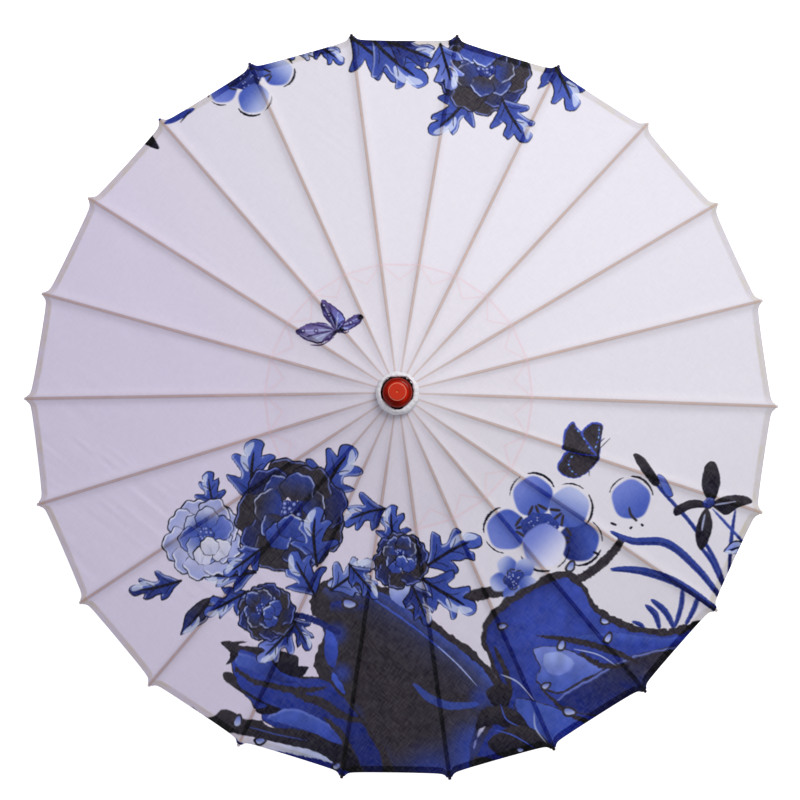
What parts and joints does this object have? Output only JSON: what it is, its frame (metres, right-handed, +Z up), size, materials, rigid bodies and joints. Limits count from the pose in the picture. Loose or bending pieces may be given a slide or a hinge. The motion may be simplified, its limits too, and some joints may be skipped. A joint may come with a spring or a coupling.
{
  "type": "oil paper umbrella",
  "caption": "Open craft umbrella: a printed cloth canopy on slotted bamboo ribs, folded by a sliding runner and stretchers on a wooden shaft, with a turned cap and grip.",
  "frame": {"origin": "centre of the turned grip, on the shaft's axis", "axes": "+Z up the shaft to the finial cap; +X along the first rib, on the side where the spring catch stands"},
  "size_m": [0.8216, 0.8136, 0.55],
  "materials": {
    "shaft_wood": "oiled, close straight grain",
    "black_lacquer": "black lacquer over wood, satin",
    "red_lacquer": "red lacquer over turned wood, glossy",
    "collar_cloth": "white woven cloth, matte",
    "canopy_silk": "fine printed silk with a soft satin sheen",
    "rim_cord": "undyed cotton cord",
    "pink_thread": "dyed cotton thread",
    "brass_wire": "drawn wire, dulled",
    "bamboo": "split bamboo, scraped smooth, low sheen"
  },
  "bodies": {
    "root": {"shaft": "shaft_wood", "top_hub": "black_lacquer", "finial_cap": "red_lacquer", "hub_collar": "collar_cloth", "canopy": "canopy_silk", "rim_thread": "rim_cord", "lattice_thread": "pink_thread", "top_hinge_wire": "brass_wire", "catch_pin": "brass_wire", "handle": "red_lacquer"},
    "runner": {"runner": "red_lacquer", "runner_hinge_thread": "pink_thread"},
    "catch": {"spring_catch": "bamboo"},
    "rib_01": {"rib_01": "bamboo"},
    "stretcher_01": {"stretcher_01": "bamboo"},
    "rib_02": {"rib_02": "bamboo"},
    "stretcher_02": {"stretcher_02": "bamboo"},
    "rib_03": {"rib_03": "bamboo"},
    "stretcher_03": {"stretcher_03": "bamboo"},
    "rib_04": {"rib_04": "bamboo"},
    "stretcher_04": {"stretcher_04": "bamboo"},
    "rib_05": {"rib_05": "bamboo"},
    "stretcher_05": {"stretcher_05": "bamboo"},
    "rib_06": {"rib_06": "bamboo"},
    "stretcher_06": {"stretcher_06": "bamboo"},
    "rib_07": {"rib_07": "bamboo"},
    "stretcher_07": {"stretcher_07": "bamboo"},
    "rib_08": {"rib_08": "bamboo"},
    "stretcher_08": {"stretcher_08": "bamboo"},
    "rib_09": {"rib_09": "bamboo"},
    "stretcher_09": {"stretcher_09": "bamboo"},
    "rib_10": {"rib_10": "bamboo"},
    "stretcher_10": {"stretcher_10": "bamboo"},
    "rib_11": {"rib_11": "bamboo"},
    "stretcher_11": {"stretcher_11": "bamboo"},
    "rib_12": {"rib_12": "bamboo"},
    "stretcher_12": {"stretcher_12": "bamboo"},
    "rib_13": {"rib_13": "bamboo"},
    "stretcher_13": {"stretcher_13": "bamboo"},
    "rib_14": {"rib_14": "bamboo"},
    "stretcher_14": {"stretcher_14": "bamboo"},
    "rib_15": {"rib_15": "bamboo"},
    "stretcher_15": {"stretcher_15": "bamboo"},
    "rib_16": {"rib_16": "bamboo"},
    "stretcher_16": {"stretcher_16": "bamboo"},
    "rib_17": {"rib_17": "bamboo"},
    "stretcher_17": {"stretcher_17": "bamboo"},
    "rib_18": {"rib_18": "bamboo"},
    "stretcher_18": {"stretcher_18": "bamboo"},
    "rib_19": {"rib_19": "bamboo"},
    "stretcher_19": {"stretcher_19": "bamboo"},
    "rib_20": {"rib_20": "bamboo"},
    "stretcher_20": {"stretcher_20": "bamboo"},
    "rib_21": {"rib_21": "bamboo"},
    "stretcher_21": {"stretcher_21": "bamboo"},
    "rib_22": {"rib_22": "bamboo"},
    "stretcher_22": {"stretcher_22": "bamboo"}
  },
  "joints": [
    {"name": "runner_slide", "type": "slide", "parent": "root", "child": "runner", "axis": [0, 0, 1], "range_m": [-0.17597, 0], "deforming": ["canopy", "rim_thread", "lattice_thread", "runner_hinge_thread", "spring_catch"]},
    {"name": "catch_press", "type": "hinge", "parent": "root", "child": "catch", "pos_m": [0, 0, 0.29184], "axis": [0, -1, 0], "range_deg": [0, 5.7], "stiffness_Nm_per_rad": 1.2},
    {"name": "rib_01_hinge", "type": "hinge", "parent": "root", "child": "rib_01", "pos_m": [0.0145, 0, 0.47], "axis": [0, 1, 0], "range_deg": [0, 67.05]},
    {"name": "stretcher_01_hinge", "type": "hinge", "parent": "rib_01", "child": "stretcher_01", "pos_m": [0.14042, 0, 0.42417], "axis": [0, 1, 0], "range_deg": [-134.1, 0]},
    {"name": "rib_02_hinge", "type": "hinge", "parent": "root", "child": "rib_02", "pos_m": [0.01391, 0.00409, 0.47], "axis": [-0.2817, 0.9595, 0], "range_deg": [0, 67.05]},
    {"name": "stretcher_02_hinge", "type": "hinge", "parent": "rib_02", "child": "stretcher_02", "pos_m": [0.13473, 0.03956, 0.42417], "axis": [-0.2817, 0.9595, 0], "range_deg": [-134.1, 0]},
    {"name": "rib_03_hinge", "type": "hinge", "parent": "root", "child": "rib_03", "pos_m": [0.0122, 0.00784, 0.47], "axis": [-0.5406, 0.8413, 0], "range_deg": [0, 67.05]},
    {"name": "stretcher_03_hinge", "type": "hinge", "parent": "rib_03", "child": "stretcher_03", "pos_m": [0.11813, 0.07592, 0.42417], "axis": [-0.5406, 0.8413, 0], "range_deg": [-134.1, 0]},
    {"name": "rib_04_hinge", "type": "hinge", "parent": "root", "child": "rib_04", "pos_m": [0.0095, 0.01096, 0.47], "axis": [-0.7557, 0.6549, 0], "range_deg": [0, 67.05]},
    {"name": "stretcher_04_hinge", "type": "hinge", "parent": "rib_04", "child": "stretcher_04", "pos_m": [0.09195, 0.10612, 0.42417], "axis": [-0.7557, 0.6549, 0], "range_deg": [-134.1, 0]},
    {"name": "rib_05_hinge", "type": "hinge", "parent": "root", "child": "rib_05", "pos_m": [0.00602, 0.01319, 0.47], "axis": [-0.9096, 0.4154, 0], "range_deg": [0, 67.05]},
    {"name": "stretcher_05_hinge", "type": "hinge", "parent": "rib_05", "child": "stretcher_05", "pos_m": [0.05833, 0.12773, 0.42417], "axis": [-0.9096, 0.4154, 0], "range_deg": [-134.1, 0]},
    {"name": "rib_06_hinge", "type": "hinge", "parent": "root", "child": "rib_06", "pos_m": [0.00206, 0.01435, 0.47], "axis": [-0.9898, 0.1423, 0], "range_deg": [0, 67.05]},
    {"name": "stretcher_06_hinge", "type": "hinge", "parent": "rib_06", "child": "stretcher_06", "pos_m": [0.01998, 0.13899, 0.42417], "axis": [-0.9898, 0.1423, 0], "range_deg": [-134.1, 0]},
    {"name": "rib_07_hinge", "type": "hinge", "parent": "root", "child": "rib_07", "pos_m": [-0.00206, 0.01435, 0.47], "axis": [-0.9898, -0.1423, 0], "range_deg": [0, 67.05]},
    {"name": "stretcher_07_hinge", "type": "hinge", "parent": "rib_07", "child": "stretcher_07", "pos_m": [-0.01998, 0.13899, 0.42417], "axis": [-0.9898, -0.1423, 0], "range_deg": [-134.1, 0]},
    {"name": "rib_08_hinge", "type": "hinge", "parent": "root", "child": "rib_08", "pos_m": [-0.00602, 0.01319, 0.47], "axis": [-0.9096, -0.4154, 0], "range_deg": [0, 67.05]},
    {"name": "stretcher_08_hinge", "type": "hinge", "parent": "rib_08", "child": "stretcher_08", "pos_m": [-0.05833, 0.12773, 0.42417], "axis": [-0.9096, -0.4154, 0], "range_deg": [-134.1, 0]},
    {"name": "rib_09_hinge", "type": "hinge", "parent": "root", "child": "rib_09", "pos_m": [-0.0095, 0.01096, 0.47], "axis": [-0.7557, -0.6549, 0], "range_deg": [0, 67.05]},
    {"name": "stretcher_09_hinge", "type": "hinge", "parent": "rib_09", "child": "stretcher_09", "pos_m": [-0.09195, 0.10612, 0.42417], "axis": [-0.7557, -0.6549, 0], "range_deg": [-134.1, 0]},
    {"name": "rib_10_hinge", "type": "hinge", "parent": "root", "child": "rib_10", "pos_m": [-0.0122, 0.00784, 0.47], "axis": [-0.5406, -0.8413, 0], "range_deg": [0, 67.05]},
    {"name": "stretcher_10_hinge", "type": "hinge", "parent": "rib_10", "child": "stretcher_10", "pos_m": [-0.11813, 0.07592, 0.42417], "axis": [-0.5406, -0.8413, 0], "range_deg": [-134.1, 0]},
    {"name": "rib_11_hinge", "type": "hinge", "parent": "root", "child": "rib_11", "pos_m": [-0.01391, 0.00409, 0.47], "axis": [-0.2817, -0.9595, 0], "range_deg": [0, 67.05]},
    {"name": "stretcher_11_hinge", "type": "hinge", "parent": "rib_11", "child": "stretcher_11", "pos_m": [-0.13473, 0.03956, 0.42417], "axis": [-0.2817, -0.9595, 0], "range_deg": [-134.1, 0]},
    {"name": "rib_12_hinge", "type": "hinge", "parent": "root", "child": "rib_12", "pos_m": [-0.0145, 0, 0.47], "axis": [0, -1, 0], "range_deg": [0, 67.05]},
    {"name": "stretcher_12_hinge", "type": "hinge", "parent": "rib_12", "child": "stretcher_12", "pos_m": [-0.14042, 0, 0.42417], "axis": [0, -1, 0], "range_deg": [-134.1, 0]},
    {"name": "rib_13_hinge", "type": "hinge", "parent": "root", "child": "rib_13", "pos_m": [-0.01391, -0.00409, 0.47], "axis": [0.2817, -0.9595, 0], "range_deg": [0, 67.05]},
    {"name": "stretcher_13_hinge", "type": "hinge", "parent": "rib_13", "child": "stretcher_13", "pos_m": [-0.13473, -0.03956, 0.42417], "axis": [0.2817, -0.9595, 0], "range_deg": [-134.1, 0]},
    {"name": "rib_14_hinge", "type": "hinge", "parent": "root", "child": "rib_14", "pos_m": [-0.0122, -0.00784, 0.47], "axis": [0.5406, -0.8413, 0], "range_deg": [0, 67.05]},
    {"name": "stretcher_14_hinge", "type": "hinge", "parent": "rib_14", "child": "stretcher_14", "pos_m": [-0.11813, -0.07592, 0.42417], "axis": [0.5406, -0.8413, 0], "range_deg": [-134.1, 0]},
    {"name": "rib_15_hinge", "type": "hinge", "parent": "root", "child": "rib_15", "pos_m": [-0.0095, -0.01096, 0.47], "axis": [0.7557, -0.6549, 0], "range_deg": [0, 67.05]},
    {"name": "stretcher_15_hinge", "type": "hinge", "parent": "rib_15", "child": "stretcher_15", "pos_m": [-0.09195, -0.10612, 0.42417], "axis": [0.7557, -0.6549, 0], "range_deg": [-134.1, 0]},
    {"name": "rib_16_hinge", "type": "hinge", "parent": "root", "child": "rib_16", "pos_m": [-0.00602, -0.01319, 0.47], "axis": [0.9096, -0.4154, 0], "range_deg": [0, 67.05]},
    {"name": "stretcher_16_hinge", "type": "hinge", "parent": "rib_16", "child": "stretcher_16", "pos_m": [-0.05833, -0.12773, 0.42417], "axis": [0.9096, -0.4154, 0], "range_deg": [-134.1, 0]},
    {"name": "rib_17_hinge", "type": "hinge", "parent": "root", "child": "rib_17", "pos_m": [-0.00206, -0.01435, 0.47], "axis": [0.9898, -0.1423, 0], "range_deg": [0, 67.05]},
    {"name": "stretcher_17_hinge", "type": "hinge", "parent": "rib_17", "child": "stretcher_17", "pos_m": [-0.01998, -0.13899, 0.42417], "axis": [0.9898, -0.1423, 0], "range_deg": [-134.1, 0]},
    {"name": "rib_18_hinge", "type": "hinge", "parent": "root", "child": "rib_18", "pos_m": [0.00206, -0.01435, 0.47], "axis": [0.9898, 0.1423, 0], "range_deg": [0, 67.05]},
    {"name": "stretcher_18_hinge", "type": "hinge", "parent": "rib_18", "child": "stretcher_18", "pos_m": [0.01998, -0.13899, 0.42417], "axis": [0.9898, 0.1423, 0], "range_deg": [-134.1, 0]},
    {"name": "rib_19_hinge", "type": "hinge", "parent": "root", "child": "rib_19", "pos_m": [0.00602, -0.01319, 0.47], "axis": [0.9096, 0.4154, 0], "range_deg": [0, 67.05]},
    {"name": "stretcher_19_hinge", "type": "hinge", "parent": "rib_19", "child": "stretcher_19", "pos_m": [0.05833, -0.12773, 0.42417], "axis": [0.9096, 0.4154, 0], "range_deg": [-134.1, 0]},
    {"name": "rib_20_hinge", "type": "hinge", "parent": "root", "child": "rib_20", "pos_m": [0.0095, -0.01096, 0.47], "axis": [0.7557, 0.6549, 0], "range_deg": [0, 67.05]},
    {"name": "stretcher_20_hinge", "type": "hinge", "parent": "rib_20", "child": "stretcher_20", "pos_m": [0.09195, -0.10612, 0.42417], "axis": [0.7557, 0.6549, 0], "range_deg": [-134.1, 0]},
    {"name": "rib_21_hinge", "type": "hinge", "parent": "root", "child": "rib_21", "pos_m": [0.0122, -0.00784, 0.47], "axis": [0.5406, 0.8413, 0], "range_deg": [0, 67.05]},
    {"name": "stretcher_21_hinge", "type": "hinge", "parent": "rib_21", "child": "stretcher_21", "pos_m": [0.11813, -0.07592, 0.42417], "axis": [0.5406, 0.8413, 0], "range_deg": [-134.1, 0]},
    {"name": "rib_22_hinge", "type": "hinge", "parent": "root", "child": "rib_22", "pos_m": [0.01391, -0.00409, 0.47], "axis": [0.2817, 0.9595, 0], "range_deg": [0, 67.05]},
    {"name": "stretcher_22_hinge", "type": "hinge", "parent": "rib_22", "child": "stretcher_22", "pos_m": [0.13473, -0.03956, 0.42417], "axis": [0.2817, 0.9595, 0], "range_deg": [-134.1, 0]}
  ],
  "couplings": [
    {"joint": "rib_01_hinge", "follows": "runner_slide", "rad_per_m": -6.6452},
    {"joint": "stretcher_01_hinge", "follows": "runner_slide", "rad_per_m": 13.29},
    {"joint": "rib_02_hinge", "follows": "runner_slide", "rad_per_m": -6.6452},
    {"joint": "stretcher_02_hinge", "follows": "runner_slide", "rad_per_m": 13.29},
    {"joint": "rib_03_hinge", "follows": "runner_slide", "rad_per_m": -6.6452},
    {"joint": "stretcher_03_hinge", "follows": "runner_slide", "rad_per_m": 13.29},
    {"joint": "rib_04_hinge", "follows": "runner_slide", "rad_per_m": -6.6452},
    {"joint": "stretcher_04_hinge", "follows": "runner_slide", "rad_per_m": 13.29},
    {"joint": "rib_05_hinge", "follows": "runner_slide", "rad_per_m": -6.6452},
    {"joint": "stretcher_05_hinge", "follows": "runner_slide", "rad_per_m": 13.29},
    {"joint": "rib_06_hinge", "follows": "runner_slide", "rad_per_m": -6.6452},
    {"joint": "stretcher_06_hinge", "follows": "runner_slide", "rad_per_m": 13.29},
    {"joint": "rib_07_hinge", "follows": "runner_slide", "rad_per_m": -6.6452},
    {"joint": "stretcher_07_hinge", "follows": "runner_slide", "rad_per_m": 13.29},
    {"joint": "rib_08_hinge", "follows": "runner_slide", "rad_per_m": -6.6452},
    {"joint": "stretcher_08_hinge", "follows": "runner_slide", "rad_per_m": 13.29},
    {"joint": "rib_09_hinge", "follows": "runner_slide", "rad_per_m": -6.6452},
    {"joint": "stretcher_09_hinge", "follows": "runner_slide", "rad_per_m": 13.29},
    {"joint": "rib_10_hinge", "follows": "runner_slide", "rad_per_m": -6.6452},
    {"joint": "stretcher_10_hinge", "follows": "runner_slide", "rad_per_m": 13.29},
    {"joint": "rib_11_hinge", "follows": "runner_slide", "rad_per_m": -6.6452},
    {"joint": "stretcher_11_hinge", "follows": "runner_slide", "rad_per_m": 13.29},
    {"joint": "rib_12_hinge", "follows": "runner_slide", "rad_per_m": -6.6452},
    {"joint": "stretcher_12_hinge", "follows": "runner_slide", "rad_per_m": 13.29},
    {"joint": "rib_13_hinge", "follows": "runner_slide", "rad_per_m": -6.6452},
    {"joint": "stretcher_13_hinge", "follows": "runner_slide", "rad_per_m": 13.29},
    {"joint": "rib_14_hinge", "follows": "runner_slide", "rad_per_m": -6.6452},
    {"joint": "stretcher_14_hinge", "follows": "runner_slide", "rad_per_m": 13.29},
    {"joint": "rib_15_hinge", "follows": "runner_slide", "rad_per_m": -6.6452},
    {"joint": "stretcher_15_hinge", "follows": "runner_slide", "rad_per_m": 13.29},
    {"joint": "rib_16_hinge", "follows": "runner_slide", "rad_per_m": -6.6452},
    {"joint": "stretcher_16_hinge", "follows": "runner_slide", "rad_per_m": 13.29},
    {"joint": "rib_17_hinge", "follows": "runner_slide", "rad_per_m": -6.6452},
    {"joint": "stretcher_17_hinge", "follows": "runner_slide", "rad_per_m": 13.29},
    {"joint": "rib_18_hinge", "follows": "runner_slide", "rad_per_m": -6.6452},
    {"joint": "stretcher_18_hinge", "follows": "runner_slide", "rad_per_m": 13.29},
    {"joint": "rib_19_hinge", "follows": "runner_slide", "rad_per_m": -6.6452},
    {"joint": "stretcher_19_hinge", "follows": "runner_slide", "rad_per_m": 13.29},
    {"joint": "rib_20_hinge", "follows": "runner_slide", "rad_per_m": -6.6452},
    {"joint": "stretcher_20_hinge", "follows": "runner_slide", "rad_per_m": 13.29},
    {"joint": "rib_21_hinge", "follows": "runner_slide", "rad_per_m": -6.6452},
    {"joint": "stretcher_21_hinge", "follows": "runner_slide", "rad_per_m": 13.29},
    {"joint": "rib_22_hinge", "follows": "runner_slide", "rad_per_m": -6.6452},
    {"joint": "stretcher_22_hinge", "follows": "runner_slide", "rad_per_m": 13.29}
  ]
}
